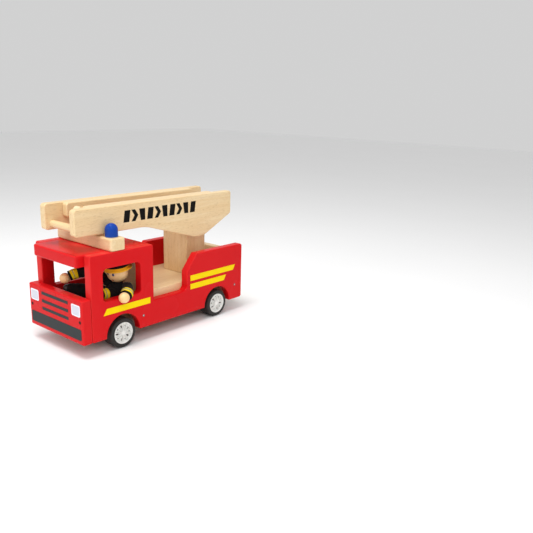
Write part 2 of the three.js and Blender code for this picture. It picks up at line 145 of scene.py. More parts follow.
def wood(grain, seed, tone="pale"):
    """Varnished beech: grain is the axis that the fibres run along."""
    key = (grain, seed, tone)
    if key in WOODS:
        return WOODS[key]
    light, mid, dark = {
        "pale": (linear(238, 216, 174), linear(229, 199, 149), linear(210, 170, 118)),
        "warm": (linear(238, 211, 162), linear(228, 195, 142), linear(208, 166, 112)),
        # painted shade: a darker beech for the axle blocks, standing in for the shade inside the wheel arches
        "shade": (linear(150, 108, 70), linear(128, 88, 56), linear(104, 70, 44)),
    }[tone]
    s = Shader(f"beech_{tone}_{grain}_{seed}", Roughness=0.42, Coat_Weight=0.25, Coat_Roughness=0.25)
    along = {"x": (0.09, 1, 1), "y": (1, 0.09, 1), "z": (1, 1, 0.09)}[grain]
    broad = s.coords(tuple(30 * a for a in along), seed)
    fine = s.coords(tuple(260 * a for a in along), seed)
    pores = s.coords(tuple((160 if a < 1 else 1500) for a in along), seed)
    cloud = s.noise(broad, 1.6, 3, 0.5, 0.6)
    rings = s.add("ShaderNodeTexWave", {"wave_type": "BANDS", "bands_direction": "DIAGONAL"}, Vector=broad,
                  Scale=1.7, Distortion=7.0, Detail=3.0, Detail_Scale=0.7).outputs["Fac"]
    streak = s.noise(fine, 1.0, 6, 0.6)
    pore = s.ramp(s.noise(pores, 1.0, 1, 0.4), (0.60, 0.0), (0.72, 1.0))
    colour = s.ramp(cloud, (0.30, light), (0.52, mid), (0.80, light))
    colour = s.mix(s.spread(rings, 0.0, 0.30), colour, mid)
    colour = s.mix(s.spread(streak, 0.0, 0.34), colour, dark)
    colour = s.mix(s.ramp(pore, (0.0, 0.0), (1.0, 0.35)), colour, linear(150, 104, 62))
    # painted highlight: the light tone along the sharp edges
    colour = s.edges(colour, light, amount=0.35)
    s.link(colour, "Base Color")
    s.link(s.spread(streak, 0.36, 0.50), "Roughness")
    s.bump(streak, 0.12, 0.0003)
    WOODS[key] = s.mat
    return s.mat


def paint(name, base, deep, edge, roughness=0.25):
    """Glossy paint over wood, with a faint trace of the grain and a painted highlight on the corners."""
    s = Shader(name, Roughness=roughness, Specular_IOR_Level=0.06, Coat_Weight=0.08, Coat_Roughness=0.06)
    cloud = s.noise(s.coords((9, 9, 9)), 1.0, 3, 0.5)
    peel = s.noise(s.coords((420, 420, 420)), 1.0, 2, 0.5)
    grain = s.noise(s.coords((30, 420, 420)), 1.0, 4, 0.6)
    colour = s.mix(s.spread(cloud, 0.0, 0.35), base, deep)
    specks = s.ramp(s.noise(s.coords((420, 420, 420), 4), 1.0, 2, 0.5), (0.76, 0.0), (0.82, 0.35))
    colour = s.mix(specks, colour, edge)
    # painted highlight: the edge colour along the sharp edges (the specks above use it as random tone)
    colour = s.edges(colour, edge, amount=0.5)
    s.link(colour, "Base Color")
    s.link(s.spread(cloud, roughness - 0.03, roughness + 0.05), "Roughness")
    height = s.mix(0.5, peel, grain)
    s.bump(height, 0.05, 0.0002)
    return s.mat


def film(name, base, other, stripes=0.0, roughness=0.35, coat=0.04):
    """Printed film: fine diagonal print lines and a slightly uneven gloss."""
    s = Shader(name, Roughness=roughness, Specular_IOR_Level=0.06, Coat_Weight=coat, Coat_Roughness=0.2)
    cloud = s.noise(s.coords((60, 60, 60)), 1.0, 3, 0.5)
    lines = s.add("ShaderNodeTexWave", {"wave_type": "BANDS", "bands_direction": "DIAGONAL"},
                  Vector=s.coords((140, 140, 140)), Scale=1.0, Distortion=0.4, Detail=1.0).outputs["Fac"]
    colour = s.mix(s.spread(cloud, 0.0, 0.5), base, other)
    colour = s.mix(s.spread(lines, 0.0, stripes), colour, other)
    s.link(colour, "Base Color")
    s.link(s.spread(cloud, roughness - 0.06, roughness + 0.08), "Roughness")
    s.bump(s.noise(s.coords((900, 900, 900)), 1.0, 2, 0.5), 0.06, 0.0001)
    return s.mat


def rubber():
    s = Shader("tyre_rubber", Roughness=0.62, Specular_IOR_Level=0.35)
    dust = s.noise(s.coords((220, 220, 220)), 1.0, 5, 0.65)
    grain = s.noise(s.coords((1600, 1600, 1600)), 1.0, 2, 0.5)
    s.link(s.mix(s.spread(dust, 0.0, 0.8), linear(26, 25, 24), linear(52, 49, 46)), "Base Color")
    s.link(s.spread(dust, 0.52, 0.74), "Roughness")
    s.bump(grain, 0.25, 0.0002)
    return s.mat


def plastic(name, base, other, roughness=0.35):
    s = Shader(name, Roughness=roughness, Coat_Weight=0.15, Coat_Roughness=0.2)
    cloud = s.noise(s.coords((150, 150, 150)), 1.0, 4, 0.6)
    s.link(s.mix(s.spread(cloud, 0.0, 0.8), base, other), "Base Color")
    s.link(s.spread(cloud, roughness - 0.07, roughness + 0.09), "Roughness")
    s.bump(s.noise(s.coords((1300, 1300, 1300)), 1.0, 2, 0.5), 0.10, 0.0001)
    return s.mat


def metal():
    s = Shader("bright_steel", Metallic=1.0, Roughness=0.3)
    brushed = s.noise(s.coords((90, 1800, 1800)), 1.0, 3, 0.6)
    s.link(s.mix(s.spread(brushed, 0.0, 0.7), linear(196, 199, 203), linear(140, 144, 150)), "Base Color")
    s.link(s.spread(brushed, 0.22, 0.42), "Roughness")
    s.bump(brushed, 0.05, 0.0001)
    return s.mat


def cloth(name, base, other, weave=1500.0):
    """Plain-woven cloth: two crossed sets of threads, with lint and fading between them."""
    s = Shader(name, Roughness=0.9, Sheen_Weight=0.04, Sheen_Roughness=0.4,
               Specular_IOR_Level=0.15)
    threads = s.add("ShaderNodeTexWave", {"wave_type": "BANDS", "bands_direction": "X"},
                    Vector=s.coords((weave, weave, weave)), Scale=0.32, Distortion=1.2, Detail=1.0)
    crossing = s.add("ShaderNodeTexWave", {"wave_type": "BANDS", "bands_direction": "Z"},
                     Vector=s.coords((weave, weave, weave)), Scale=0.32, Distortion=1.2, Detail=1.0)
    height = s.mix(0.5, threads.outputs["Fac"], crossing.outputs["Fac"])
    lint = s.noise(s.coords((330, 330, 330)), 1.0, 5, 0.7)
    colour = s.mix(s.spread(lint, 0.0, 0.8), base, other)
    colour = s.mix(s.spread(height, 0.0, 0.25), colour, other)
    s.link(colour, "Base Color")
    s.link(s.spread(lint, 0.82, 0.98), "Roughness")
    s.bump(height, 0.5, 0.0002)
    return s.mat


# The last colour of each paint is for the random specks and for the painted highlight along the edges.
RED = paint("red_paint", linear(206, 10, 19), linear(199, 7, 16), linear(226, 56, 54))
BLUE = paint("blue_paint", linear(24, 66, 158), linear(16, 50, 134), linear(60, 104, 190), 0.22)
HELMET = paint("helmet_paint", linear(244, 178, 28), linear(232, 160, 20), linear(252, 206, 80), 0.3)
YELLOW = film("yellow_film", linear(246, 218, 0), linear(240, 206, 0), 0.2)
WHITE = film("white_film", linear(240, 242, 250), linear(232, 235, 244), 0.1, 0.25)
RIM_FILM = film("pale_grey_film", linear(212, 214, 224), linear(203, 206, 217), 0.1)
GREY = film("grey_film", linear(51, 56, 58), linear(60, 64, 65), 0.2, 0.45, 0.04)
# dark print for the boom marks, also used as painted shade for the front panel holes
MARK_AND_HOLE_SHADE = film("dark_print_and_hole_shade", linear(14, 12, 11), linear(24, 21, 19), 0.1, 0.5, 0.02)
RUBBER = rubber()
HUB = plastic("hub_plastic", linear(236, 236, 232), linear(222, 222, 218))
# painted shade: dark plastic for the hub openings and for the recess round each side nail
RECESS_SHADE = plastic("painted_recess_shade", linear(46, 38, 32), linear(70, 60, 52), 0.6)
STEEL = metal()
# black cloth for the jacket, also used as painted shade on the helmet dome
BLACK_CLOTH_AND_SHADE = cloth("black_cloth", linear(17, 15, 15), linear(30, 27, 27))
YELLOW_BAND = cloth("yellow_band", linear(240, 218, 20), linear(214, 186, 24))
SILVER_BAND = cloth("silver_band", linear(176, 170, 120), linear(140, 134, 96))
SKIN = plastic("doll_wood", linear(244, 207, 150), linear(236, 194, 134), 0.38)
EYE = plastic("eye_paint", linear(24, 26, 78), linear(34, 38, 96), 0.25)
GLINT = plastic("eye_highlight", linear(176, 204, 238), linear(150, 184, 226), 0.25)
MOUTH = plastic("mouth_paint", linear(196, 48, 40), linear(176, 38, 34), 0.35)


# ---- Geometry helpers ----------------------------------------------------------------------------

def link(name, mesh, *materials):
    """A new object in the scene that shows the mesh in the materials."""
    obj = bpy.data.objects.new(name, mesh)
    bpy.context.scene.collection.objects.link(obj)
    if len(mesh.materials):
        mesh.materials.clear()
    for material in materials:
        mesh.materials.append(material)
    return obj


def soften(obj, width, segments=3, angle=EDGE_ANGLE):
    """Rounds the edges sharper than angle, or the weighted ones, keeping flat faces flat."""
    if width:
        bevel = obj.modifiers.new("edges", "BEVEL")
        bevel.width = width * MM
        bevel.segments = segments
        bevel.limit_method = "ANGLE" if angle else "WEIGHT"
        bevel.angle_limit = math.radians(angle or 30)
        bevel.use_clamp_overlap = False
        bevel.loop_slide = False
    for polygon in obj.data.polygons:
        polygon.use_smooth = True
    obj.modifiers.new("normals", "WEIGHTED_NORMAL").keep_sharp = True


def within(spots, area):
    """Whether all the points are inside the area (x0, x1, z0, z1), seen from the side, in mm."""
    x0, x1, z0, z1 = area
    return all(x0 <= spot.x <= x1 and z0 <= spot.z <= z1 for spot in spots)


def around(node, reach):
    """The square area within reach of the middle of a CAD piece, for within()."""
    low, high = (Vector(corner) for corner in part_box(node))
    middle = ((low + high) / 2 - ORIGIN) / MM
    return middle.x - reach, middle.x + reach, middle.z - reach, middle.z + reach


def bolt_hole():
    """The area of the hole and the pocket that the turret's bolt goes through."""
    low, high = (Vector(corner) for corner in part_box("turret_bolt"))
    start, end = (low - ORIGIN) / MM, (high - ORIGIN) / MM
    return start.x - 3, end.x + 3, start.z - 6, end.z + 6


def refined(node, body, material, width=2.0, segments=3, crisp=()):
    """A finer copy of a CAD board, with rounded edges. Edges within a crisp area stay sharp."""
    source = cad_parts[node]
    mesh = source.data.copy()
    bm = bmesh.new()
    bm.from_mesh(mesh)
    bmesh.ops.remove_doubles(bm, verts=bm.verts, dist=2e-6)
    bmesh.ops.dissolve_limit(bm, angle_limit=math.radians(0.4), verts=bm.verts, edges=bm.edges)
    bmesh.ops.recalc_face_normals(bm, faces=bm.faces)
    weight = bm.edges.layers.float.new("bevel_weight_edge")
    for edge in bm.edges:
        spots = [(source.matrix_world @ vert.co - ORIGIN) / MM for vert in edge.verts]
        blunt = edge.calc_face_angle(0) < math.radians(EDGE_ANGLE)
        edge[weight] = 0.0 if blunt or any(within(spots, area) for area in crisp) else 1.0
    bm.to_mesh(mesh)
    bm.free()
    for layer in ("custom_normal", "sharp_edge", "sharp_face"):
        if layer in mesh.attributes:
            mesh.attributes.remove(mesh.attributes[layer])
    obj = link(f"fine_{node}", mesh, material)
    soften(obj, width, segments, None)
    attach(obj, body)
    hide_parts(node)
    return obj


def spun(profile, sides, axis="y"):
    """Turns (radius, along) points, in mm, about the axis. Both ends lie on it, or the outline closes."""
    closed = profile[0] == profile[-1]
    outline = profile[:-1] if closed else profile
    bm = bmesh.new()
    rings = []
    for radius, along in outline:
        if radius < 1e-6:
            rings.append([bm.verts.new((0, 0, along * MM))] * sides)
            continue
        ring = []
        for i in range(sides):
            angle = 2 * math.pi * (i + 0.5) / sides
            spot = Vector((radius * math.cos(angle), radius * math.sin(angle), along))
            ring.append(bm.verts.new(spot * MM))
        rings.append(ring)
    pairs = list(zip(rings, rings[1:] + (rings[:1] if closed else [])))
    for low, high in pairs:
        for i in range(sides):
            j = (i + 1) % sides
            corners = []
            for vert in (low[i], low[j], high[j], high[i]):
                if vert not in corners:
                    corners.append(vert)
            if len(corners) > 2:
                bm.faces.new(corners)
    bmesh.ops.recalc_face_normals(bm, faces=bm.faces)
    if axis == "y":
        bmesh.ops.rotate(bm, matrix=Matrix.Rotation(math.radians(-90), 3, "X"), verts=bm.verts)
    mesh = bpy.data.meshes.new("spun")
    bm.to_mesh(mesh)
    bm.free()
    for polygon in mesh.polygons:
        polygon.use_smooth = True
    mesh.set_sharp_from_angle(angle=math.radians(35))
    return mesh


def rounded_rod(radius, half, chamfer):
    """The profile of a rod of length 2 * half with rounded ends."""
    profile = [(0, -half), (radius - chamfer, -half)]
    for i in range(1, 4):
        angle = math.pi / 2 * i / 4
        across = radius - chamfer + chamfer * math.sin(angle)
        profile.append((across, -half + chamfer - chamfer * math.cos(angle)))
    profile.append((radius, -half + chamfer))
    return profile + [(r, -h) for r, h in reversed(profile)]


def dowel(node, body, material=None):
    """A smooth round dowel along Y in place of the faceted CAD one."""
    low, high = (Vector(corner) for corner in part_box(node))
    radius = (high.z - low.z) / 2 / MM
    half = (high.y - low.y) / 2 / MM
    mesh = spun(rounded_rod(radius, half, min(0.8, radius / 4)), 48)
    obj = link(f"fine_{node}", mesh, material or wood("y", len(node)))
    obj.location = (low + high) / 2
    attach(obj, body)
    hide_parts(node)
    return obj


def flat_piece(name, outline, origin, u, v, thickness, material, body="chassis"):
    """A thin piece: outline in mm along u and v from origin, standing thickness mm out along u x v."""
    bm = bmesh.new()
    normal = u.cross(v).normalized()
    front = [bm.verts.new(origin + (u * a + v * b + normal * thickness) * MM) for a, b in outline]
    back = [bm.verts.new(origin + (u * a + v * b) * MM) for a, b in outline]
    bm.faces.new(front)
    bm.faces.new(list(reversed(back)))
    for i in range(len(outline)):
        j = (i + 1) % len(outline)
        bm.faces.new((front[j], front[i], back[i], back[j]))
    bmesh.ops.recalc_face_normals(bm, faces=bm.faces)
    mesh = bpy.data.meshes.new(name)
    bm.to_mesh(mesh)
    bm.free()
    obj = link(name, mesh, material)
    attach(obj, body)
    return obj


def disc_outline(radius, sides=24):
    """A circle about the origin."""
    return [(radius * math.cos(2 * math.pi * i / sides), radius * math.sin(2 * math.pi * i / sides))
            for i in range(sides)]


def rounded_outline(u0, v0, u1, v1, radius, steps=6):
    """A rectangle with rounded corners."""
    points = []
    for cu, cv, start in ((u1 - radius, v1 - radius, 0), (u0 + radius, v1 - radius, 90),
                          (u0 + radius, v0 + radius, 180), (u1 - radius, v0 + radius, 270)):
        for i in range(steps + 1):
            angle = math.radians(start + 90 * i / steps)
            points.append((cu + radius * math.cos(angle), cv + radius * math.sin(angle)))
    return points


# ---- Body ----------------------------------------------------------------------------------------

def build_body():
    """The painted panels and the bare boards of the chassis."""
    for node, width in (("side_panel_left", 1.8), ("side_panel_right", 1.8), ("front_panel", 2.6)):
        refined(node, "chassis", RED, width, 4)
    low, high = ((Vector(corner) - ORIGIN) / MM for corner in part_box("roof_panel"))
    outline = [(low.x, low.y)]
    for radius, y, start in ((7.0, low.y, -90), (2.0, high.y, 0)):
        centre = (high.x - radius, y + radius if start else y - radius)
        for i in range(9):
            angle = math.radians(start + 90 * i / 8)
            outline.append((centre[0] + radius * math.cos(angle), centre[1] + radius * math.sin(angle)))
    outline.append((low.x, high.y))
    roof = flat_piece("fine_roof_panel", outline, at(0, 0, low.z), Vector((1, 0, 0)), Vector((0, 1, 0)),
                      high.z - low.z, RED)
    soften(roof, 2.8, 5)
    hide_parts("roof_panel")
    # The axle blocks take the darker beech as painted shade for the inside of the wheel arches.
    boards = (("cab_floor", "x", 1, "warm", 1.0), ("bulkhead", "y", 2, "warm", 1.0),
              ("deck_board", "x", 3, "pale", 1.0), ("tailboard", "y", 4, "pale", 1.5),
              ("light_bar", "y", 5, "pale", 2.6), ("front_axle_block", "y", 6, "shade", 1.0),
              ("rear_axle_block", "y", 7, "shade", 1.0))
    holes = [around("front_axle", 6), around("rear_axle", 6), bolt_hole()]
    for node, grain, seed, tone, width in boards:
        refined(node, "chassis", wood(grain, seed, tone), width, 4, holes)


def build_lamp():
    """A turned peg with a domed top."""
    low, high = (Vector(corner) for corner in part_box("blue_lamp"))
    radius = (high.x - low.x) / 2 / MM
    height = (high.z - low.z) / MM
    straight = height - radius
    profile = [(0, 0), (radius - 0.5, 0), (radius, 0.5)]
    profile += [(radius, straight * i / 4) for i in range(1, 5)]
    for i in range(1, 17):
        angle = math.pi / 2 * i / 16
        profile.append((0 if i == 16 else radius * math.cos(angle), straight + radius * math.sin(angle)))
    obj = link("fine_blue_lamp", spun(profile, 64, "z"), BLUE)
    obj.location = ((low.x + high.x) / 2, (low.y + high.y) / 2, low.z)
    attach(obj, "chassis")
    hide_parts("blue_lamp")


def build_film():
    """The printed pieces, with a paler lens in each headlight."""
    for node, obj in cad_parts.items():
        if node.startswith("stripe"):
            material = YELLOW
        elif node.startswith("headlight"):
            material = WHITE
        elif node.startswith(("grille", "bumper")):
            material = GREY
        else:
            continue
        obj.data.materials.clear()
        obj.data.materials.append(material)
    face = (Vector(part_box("front_panel")[1]).x - ORIGIN.x) / MM
    for side, low in (("left", 49.5), ("right", -69.0)):
        flat_piece(f"headlight_lens_{side}", rounded_outline(low, 72.5, low + 19.5, 87.5, 2.5),
                   at(face + 0.3, 0, 0), Vector((0, 1, 0)), Vector((0, 0, 1)), 0.06, RIM_FILM)


def nail(name, centre, u, v, radius, head, recess):
    """A dark disc of painted shade for a round recess, with a smaller nail head in it."""
    flat_piece(f"{name}_rim", disc_outline(radius), centre, u, v, 0.06, recess)
    flat_piece(f"{name}_head", disc_outline(radius * 0.62), centre, u, v, 0.12, head)


def build_nails():
    """Two bright nails in each side panel, and a dark disc of painted shade for the hole at each end of the
    front panel.
    """
    nail_radius, hole_radius = 2.3, 2.8
    up = Vector((0, 0, 1))
    face = (Vector(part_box("front_panel")[1]).x - ORIGIN.x) / MM
    for side, sign in (("left", 1), ("right", -1)):
        u = Vector((-sign, 0, 0))
        for i, (x, z) in enumerate(((-102, 46), (-330, 53))):
            nail(f"nail_{side}_{i + 1}", at(x, sign * OUTER, z), u, up, nail_radius, STEEL, RECESS_SHADE)
        # painted shade: a dark disc for the hole in the front panel
        nail(f"nail_front_{side}", at(face, sign * 69, 62), Vector((0, 1, 0)), up, hole_radius, MARK_AND_HOLE_SHADE, MARK_AND_HOLE_SHADE)


# ---- Wheels --------------------------------------------------------------------------------------

def tyre_profile(half, inner, outer):
    """Rounded shoulders, a raised band on each wall and three grooves round the tread."""
    profile = [(inner, -half + 1.2), (inner + 0.9, -half + 0.15), (inner + 2.2, -half + 0.45),
               (outer - 3.4, -half + 0.1), (outer - 2.4, -half + 0.25), (outer - 1.2, -half + 0.9),
               (outer - 0.4, -half + 1.9), (outer, -half + 3.0)]
    for centre in (-half * 0.42, 0, half * 0.42):
        profile += [(outer, centre - 0.75), (outer - 0.8, centre - 0.45), (outer - 0.8, centre + 0.45),
                    (outer, centre + 0.75)]
    profile += [(r, -h) for r, h in reversed(profile[:8])]
    return profile + [profile[0]]


def spoke(bm, angle, inner, outer, width, low, high):
    """One tapered bar of the hub's face."""
    corners = []
    for radius, half in ((inner, width * 0.42), (outer, width * 0.62)):
        for side in (-1, 1):
            for z in (low, high if radius == inner else high - 0.25):
                u = radius * math.cos(angle) - side * half * math.sin(angle)
                v = radius * math.sin(angle) + side * half * math.cos(angle)
                corners.append(bm.verts.new((u * MM, v * MM, z * MM)))
    a, b, c, d, e, f, g, h = corners
    for face in ((b, d, h, f), (a, c, d, b), (e, f, h, g), (a, b, f, e), (c, g, h, d), (a, e, g, c)):
        bm.faces.new(face)


def hub_mesh(half, radius):
    """A dished face with ten pairs of thin spokes, a rim flange and a domed centre cap."""
    face = half - 2.9
    profile = [(0, -half + 1.5), (radius - 1, -half + 1.5), (radius, -half + 2.2), (radius, half - 0.7),
               (radius - 0.4, half - 0.4), (radius - 1.2, half - 0.4), (radius - 1.7, half - 0.8),
               (radius - 2.3, face - 0.1), (6.0, face - 0.9), (4.4, face - 0.6), (4.1, half - 1.2),
               (3.2, half - 0.7), (1.6, half - 0.5), (0, half - 0.45)]
    mesh = spun(profile, 96, "z")
    bm = bmesh.new()
    bm.from_mesh(mesh)
    count = 10
    for i in range(count):
        for offset in (-0.105, 0.105):
            angle = 2 * math.pi * i / count + offset
            spoke(bm, angle, 4.0, radius - 1.6, 1.15, face - 1.2, half - 0.9)
    bmesh.ops.recalc_face_normals(bm, faces=bm.faces)
    bmesh.ops.rotate(bm, matrix=Matrix.Rotation(math.radians(-90), 3, "X"), verts=bm.verts)
    bm.to_mesh(mesh)
    bm.free()
    return mesh


def vent_mesh(half, radius):
    """Painted shade: small dark ovals laid where the openings between the spokes are."""
    bm = bmesh.new()
    count = 10
    level = (half - 2.9 - 0.3) * MM
    for i in range(count):
        angle = 2 * math.pi * (i + 0.5) / count
        centre = 0.66 * radius if i % 2 else 0.74 * radius
        length, width = (3.4, 1.5) if i % 2 else (2.2, 1.3)
        ring = []
        for k in range(14):
            a = 2 * math.pi * k / 14
            du, dv = length * math.cos(a), width * math.sin(a)
            u = (centre + du) * math.cos(angle) - dv * math.sin(angle)
            v = (centre + du) * math.sin(angle) + dv * math.cos(angle)
            ring.append((u * MM, v * MM))
        top = [bm.verts.new((u, v, level)) for u, v in ring]
        bottom = [bm.verts.new((u, v, level - 0.0012)) for u, v in ring]
        bm.faces.new(top)
        bm.faces.new(list(reversed(bottom)))
        for k in range(14):
            n = (k + 1) % 14
            bm.faces.new((top[n], top[k], bottom[k], bottom[n]))
    bmesh.ops.recalc_face_normals(bm, faces=bm.faces)
    bmesh.ops.rotate(bm, matrix=Matrix.Rotation(math.radians(-90), 3, "X"), verts=bm.verts)
    mesh = bpy.data.meshes.new("vent_shade")
    bm.to_mesh(mesh)
    bm.free()
    return mesh


def build_wheels():
    for end in ("front", "rear"):
        body = f"{end}_wheels"
        axle = dowel(f"{end}_axle", body, STEEL)
        for side, sign in (("left", 1), ("right", -1)):
            low, high = (Vector(corner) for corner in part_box(f"tyre_{end}_{side}"))
            hub_low, hub_high = (Vector(corner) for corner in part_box(f"hub_{end}_{side}"))
            centre = (low + high) / 2
            half = (high.y - low.y) / 2 / MM
            outer = (high.z - low.z) / 2 / MM
            radius = (hub_high.z - hub_low.z) / 2 / MM
            turn = Matrix.Translation(centre) @ Matrix.Rotation(math.pi if sign < 0 else 0, 4, "Z")
            lean = Matrix.Rotation(math.radians(17 if end == "front" else 44), 4, "Y")
            tyre = link(f"fine_tyre_{end}_{side}", spun(tyre_profile(half, radius + 0.1, outer), 112), RUBBER)
            hub = link(f"fine_hub_{end}_{side}", hub_mesh(half, radius), HUB)
            # painted shade: dark ovals in the hub openings
            vent_shade = link(f"hub_vent_shade_{end}_{side}", vent_mesh(half, radius), RECESS_SHADE)
            soften(hub, 0.18, 2, 40)
            for obj in (tyre, hub, vent_shade):
                obj.data.transform(turn @ lean)
                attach(obj, body)
            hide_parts(f"tyre_{end}_{side}")
            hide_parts(f"hub_{end}_{side}")


# ---- Turning block, boom and ladder ----------------------------------------------------------------

def build_turret():
    holes = [around("boom_pivot_dowel", 7), bolt_hole()]
    refined("turret_block", "turret", wood("z", 8, "warm"), 1.0, 3, holes)
    refined("turret_bolt", "turret", STEEL, 0.4, 2)


def boom_marks():
    """A row of plain dark shapes on the boom's left face."""
    face = (Vector(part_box("boom_plate_left")[1]).y - ORIGIN.y) / MM
    u = Vector((-1, 0, 0))
    up = Vector((0, 0, 1))
    low, high, start, pitch = 204, 224, 88, 16.6
    for i in range(10):
        left = start + pitch * i
        lean = 3.0
        if i % 3 == 0:
            outline = [(left, low), (left + 12, low), (left + 12 + lean, high), (left + lean, high)]
        elif i % 3 == 1:
            outline = [(left, low), (left + 8, low), (left + 14.5, (low + high) / 2), (left + 8, high),
                       (left, high), (left + 6.5, (low + high) / 2)]
        else:
            outline = [(left + lean, low), (left + 12.5, low), (left + 12.5, high), (left, high)]
        flat_piece(f"boom_mark_{i + 1}", outline, at(0, face, 0), u, up, 0.05, MARK_AND_HOLE_SHADE, "boom")


def build_boom():
    groove = (-303, -116, 217, 227.5)
    sockets = [around(f"boom_{name}_dowel", 8) for name in ("pivot", "front", "rear")] + [groove]
    rungs = [around(f"ladder_rung_{i}", 8) for i in range(1, 5)] + [around("ladder_guide_pin_left", 8)]
    for i, side in enumerate(("left", "right")):
        refined(f"boom_plate_{side}", "boom", wood("x", 10 + i, "pale"), 2.0, 4, sockets)
        refined(f"ladder_rail_{side}", "ladder", wood("x", 14 + i, "pale"), 2.4, 4, rungs)
        dowel(f"ladder_guide_pin_{side}", "ladder")
    for name in ("front", "rear", "pivot"):
        dowel(f"boom_{name}_dowel", "boom")
    for i in range(1, 5):
        dowel(f"ladder_rung_{i}", "ladder")
    refined("ladder_pull_tab", "ladder", wood("y", 20, "pale"), 0.8, 3)
    boom_marks()


# ---- Driver --------------------------------------------------------------------------------------

def catmull(points, t):
    """The point at t, 0 to 1, on a smooth curve through the points."""
    count = len(points) - 1
    i = min(int(t * count), count - 1)
    f = t * count - i
    p0 = points[max(i - 1, 0)]
    p1, p2 = points[i], points[i + 1]
    p3 = points[min(i + 2, count)]
    return 0.5 * (2 * p1 + (p2 - p0) * f + (2 * p0 - 5 * p1 + 4 * p2 - p3) * f * f
                  + (3 * p1 - p0 - 3 * p2 + p3) * f ** 3)


def sleeve(name, points, radii, bands, crumple, rings=60, sides=40):
    """A soft tube of cloth through points, with folds across it; bands are (start, end, material)."""
    points = [at(*p) for p in points]
    radii = [Vector((r, 0, 0)) for r in radii]
    bm = bmesh.new()
    rows = []
    previous = None
    for k in range(rings + 1):
        t = k / rings
        centre = catmull(points, t)
        ahead = (catmull(points, min(t + 0.01, 1)) - catmull(points, max(t - 0.01, 0))).normalized()
        side = previous if previous else ahead.cross(Vector((0, 0, 1)))
        side = (side - ahead * side.dot(ahead)).normalized()
        previous = side
        other = ahead.cross(side)
        radius = catmull(radii, t).x
        row = []
        for i in range(sides):
            angle = 2 * math.pi * i / sides
            out = side * math.cos(angle) + other * math.sin(angle)
            spot = centre + out * radius * MM
            where = Vector((t * 14, math.cos(angle) * 0.9, math.sin(angle) * 0.9))
            fold = noise.noise(where + points[0] * 90)
            small = noise.noise(spot * 420)
            row.append(bm.verts.new(spot + out * MM * crumple * (fold - 0.25 + 0.25 * small)))
        rows.append(row)
    for k in range(rings):
        for i in range(sides):
            j = (i + 1) % sides
            face = bm.faces.new((rows[k][i], rows[k][j], rows[k + 1][j], rows[k + 1][i]))
            t = (k + 0.5) / rings
            for start, end, index in bands:
                if start <= t < end:
                    face.material_index = index
    bm.faces.new(list(reversed(rows[0])))
    bm.faces.new(rows[-1])
    bmesh.ops.recalc_face_normals(bm, faces=bm.faces)
    mesh = bpy.data.meshes.new(name)
    bm.to_mesh(mesh)
    bm.free()
    for polygon in mesh.polygons:
        polygon.use_smooth = True
    obj = link(name, mesh, BLACK_CLOTH_AND_SHADE, YELLOW_BAND, SILVER_BAND)
    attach(obj, "chassis")
    return obj


def ball(name, node, body, material):
    """A smooth ball in place of the faceted CAD one."""
    low, high = (Vector(corner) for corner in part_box(node))
    radius = (high.x - low.x) / 2
    mesh = bpy.data.meshes.new(name)
    bm = bmesh.new()
    bmesh.ops.create_icosphere(bm, subdivisions=5, radius=radius)
    bm.to_mesh(mesh)
    bm.free()
    for polygon in mesh.polygons:
        polygon.use_smooth = True
    obj = link(name, mesh, material)
    obj.location = (low + high) / 2
    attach(obj, body)
    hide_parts(node)
    return obj


def patch(name, centre, radius, longitude, latitude, half_u, half_v, material, bend=0.0, proud=0.12):
    """A painted spot on the head: an oval laid on the sphere and curved by bend."""
    bm = bmesh.new()
    lon, lat = math.radians(longitude), math.radians(latitude)
    out = Vector((math.cos(lat) * math.cos(lon), math.cos(lat) * math.sin(lon), math.sin(lat)))
    u = Vector((-math.sin(lon), math.cos(lon), 0))
    v = out.cross(u)
    rings = 5
    hub = bm.verts.new(centre + out * (radius + proud) * MM)
    previous = None
    for k in range(1, rings + 1):
        row = []
        for i in range(28):
            a = 2 * math.pi * i / 28
            du, dv = half_u * math.cos(a) * k / rings, half_v * math.sin(a) * k / rings
            dv += bend * du * du
            lift = proud * math.sqrt(max(0.0, 1 - (k / rings) ** 2)) + 0.02
            spot = (out * radius + u * du + v * dv).normalized() * (radius + lift)
            row.append(bm.verts.new(centre + spot * MM))
        for i in range(28):
            j = (i + 1) % 28
            if previous:
                bm.faces.new((previous[i], previous[j], row[j], row[i]))
            else:
                bm.faces.new((hub, row[j], row[i]))
        previous = row
    bmesh.ops.recalc_face_normals(bm, faces=bm.faces)
    mesh = bpy.data.meshes.new(name)
    bm.to_mesh(mesh)
    bm.free()
    for polygon in mesh.polygons:
        polygon.use_smooth = True
    obj = link(name, mesh, material)
    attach(obj, "driver_head")
    return obj


def build_head():
    """A wooden ball with a flat underside and a painted face."""
    low, high = (Vector(corner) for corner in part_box("driver_head"))
    radius = (high.x - low.x) / 2 / MM
    centre = Vector(((low.x + high.x) / 2, (low.y + high.y) / 2, high.z - radius * MM))
    mesh = bpy.data.meshes.new("head")
    bm = bmesh.new()
    bmesh.ops.create_icosphere(bm, subdivisions=5, radius=radius * MM)
    floor = low.z - centre.z
    for vert in bm.verts:
        if vert.co.z < floor:
            vert.co.z = floor
    bm.to_mesh(mesh)
    bm.free()
    for polygon in mesh.polygons:
        polygon.use_smooth = True
    head = link("fine_driver_head", mesh, SKIN)
    head.location = centre
    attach(head, "driver_head")
    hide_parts("driver_head")
    facing = 12  # degrees towards the left
    for side, longitude in (("left", facing + 18), ("right", facing - 18)):
        patch(f"eye_{side}", centre, radius, longitude, -3.7, 2.3, 2.2, EYE)
        patch(f"brow_{side}", centre, radius, longitude + 1, 4.2, 2.4, 0.3, EYE, -0.06)
        patch(f"eye_glint_{side}", centre, radius + 0.12, longitude + 5, -2.8, 0.7, 0.9, GLINT, 0, 0.05)
    patch("nose", centre, radius, facing, -22, 1.3, 1.0, SKIN, 0, 0.5)
    patch("mouth", centre, radius, facing + 5, -41, 2.4, 1.4, MOUTH, 0.05)


